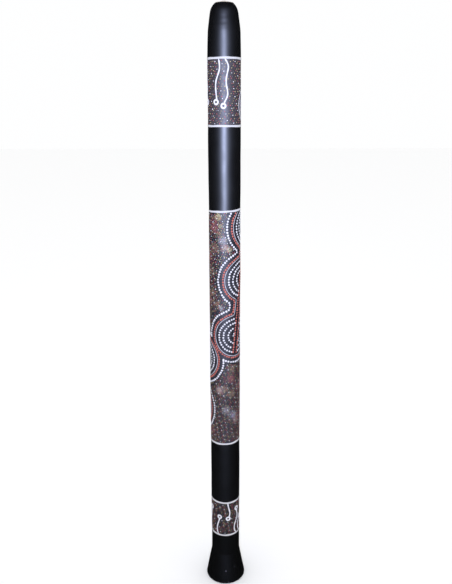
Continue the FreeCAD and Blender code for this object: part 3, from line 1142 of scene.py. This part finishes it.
circle_white = Paint("circle_dots_white", "white")
circle_red = Paint("circle_dots_red", "red")
circle_silver = Paint("circle_lines_silver", "silver")
circle_grey = Paint("circle_gap_dots_grey", "mauve")
for circle_chain in CHAINS:
    paint_outlines(circle_chain, circle_white, circle_red, circle_silver)
    paint_circles(circle_chain, circle_white)
    paint_gap_dots(circle_chain, circle_grey)
    paint_river(circle_chain, circle_red)

snakes = Paint("upper_snakes_white", "white")
for snake_line, snake_head in UPPER_SNAKES:
    paint_figure(snakes, snake_line, snake_head)
upper_silver = Paint("upper_arcs_silver", "silver")
upper_dots = Paint("upper_arc_dots_white", "white")
paint_silver_circles(upper_silver, upper_dots)
tadpoles = Paint("lower_tadpoles_white", "white")
for tail_line, tail_head in LOWER_FIGURES:
    paint_figure(tadpoles, tail_line, tail_head)
# mauve dots on the bell, one of them a painted glint on the rim's edge
bell_spots_and_glint = Paint("bell_spots_and_glint_mauve", "mauve")
paint_bell_spots_and_glint(bell_spots_and_glint)
paint_layers = [circle_white, circle_red, circle_silver, circle_grey,
                snakes, upper_silver, upper_dots, tadpoles, bell_spots_and_glint]

speckle_layers = {}
for band in ("upper", "middle", "lower"):
    speckle_layers[band] = {
        colour: Paint(f"{band}_speckles_{colour}", colour) for colour in SPECKLES
    }
    paint_layers.extend(speckle_layers[band].values())

places, colours = speckle_lattice(*between_rings(1, 2), UPPER_SPECKLE_PITCH)
keep = clear_of_figures(places, UPPER_SNAKES) & clear_of_silver(places)
scatter(places, colours, keep, speckle_layers["upper"])
# the middle band's two rings are tilted, so its lattice reaches past them and is trimmed
places, colours = speckle_lattice(RINGS[4][0] - 2, RINGS[3][0] + 2)
keep = clear_of_chains(places) & in_middle_band(places, RING_MARGIN)
scatter(places, colours, keep, speckle_layers["middle"])
for colour_cloud in CLOUDS:
    scatter_mist(colour_cloud, speckle_layers["middle"])
places, colours = speckle_lattice(*between_rings(5, 6))
scatter(places, colours, clear_of_figures(places, LOWER_FIGURES), speckle_layers["lower"])

for layer in paint_layers:
    layer.finish(paints)

# ------------ floor, light and camera

FLOOR_REACH = 14.0       # from the middle to each side, in metres
CAMERA_BACK = 1220.6     # from the tube's axis
CAMERA_HEIGHT = 1029.7
CAMERA_ASIDE = 2.3
CAMERA_TILT = 16.54      # degrees below level
CAMERA_ROLL = -0.14
LENS = 39.27
STUDIO_LIGHT = 1.0       # brightness of the surroundings
STUDIO_GLOSS = 0.007     # their brightness where lacquer reflects them


def add_floor():
    """Plain pale floor."""
    corners = [(-1, -1), (1, -1), (1, 1), (-1, 1)]
    mesh = bpy.data.meshes.new("floor")
    mesh.from_pydata([(FLOOR_REACH * x, FLOOR_REACH * y, 0) for x, y in corners], [], [(0, 1, 2, 3)])
    floor = bpy.data.objects.new("floor", mesh)
    bpy.context.scene.collection.objects.link(floor)
    material, tree = new_material("pale_floor")
    tree.surface(Base_Color=(0.95, 0.95, 0.95, 1), Roughness=0.9, Specular_IOR_Level=0.1,
                 Emission_Color=(1, 1, 1, 1), Emission_Strength=0.06)
    mesh.materials.append(material)
    floor.visible_glossy = False


def add_softbox(name, place, aim, width, height, power, colour, spread_angle):
    """Rectangular soft light whose beam fades to nothing at half its spread, in degrees."""
    light = bpy.data.lights.new(name, "AREA")
    light.shape = "RECTANGLE"
    light.size = width
    light.size_y = height
    light.energy = power
    light.color = colour
    light.spread = math.radians(spread_angle)
    lamp = bpy.data.objects.new(name, light)
    bpy.context.scene.collection.objects.link(lamp)
    lamp.location = place
    lamp.rotation_euler = (Vector(aim) - Vector(place)).to_track_quat("-Z", "Y").to_euler()


def add_world():
    """Even pale surroundings, dim in the gloss of the lacquer, as in a studio with dark walls."""
    world = bpy.data.worlds.new("studio")
    tree = NodeTree(world)
    rays = tree.add("ShaderNodeLightPath")
    strength = tree.spread(rays.outputs["Is Glossy Ray"], 0.0, 1.0, STUDIO_LIGHT, STUDIO_GLOSS)
    tree.fill(tree.nodes["Background"], {"Color": (0.995, 0.997, 1.0, 1), "Strength": strength})
    world.cycles.sampling_method = "NONE"
    bpy.context.scene.world = world


def add_camera():
    """Camera a little below the mouth end's height, tilted down at the standing instrument."""
    data = bpy.data.cameras.new("camera")
    data.lens = LENS
    camera = bpy.data.objects.new("camera", data)
    bpy.context.scene.collection.objects.link(camera)
    place = Matrix.Translation(Vector((CAMERA_ASIDE, -CAMERA_BACK, CAMERA_HEIGHT)) * MM)
    tilt = Matrix.Rotation(math.radians(90 - CAMERA_TILT), 4, "X")
    roll = Matrix.Rotation(math.radians(CAMERA_ROLL), 4, "Z")
    camera.matrix_world = place @ tilt @ roll
    bpy.context.scene.camera = camera


add_floor()
add_world()
add_softbox("key_light", place=(-0.02, -1.62, 0.98), aim=(0, 0, 0.96), width=0.17, height=0.48,
            power=4.6, colour=(0.60, 0.68, 1.0), spread_angle=75.0)
add_camera()
bpy.context.scene.view_settings.view_transform = "Standard"
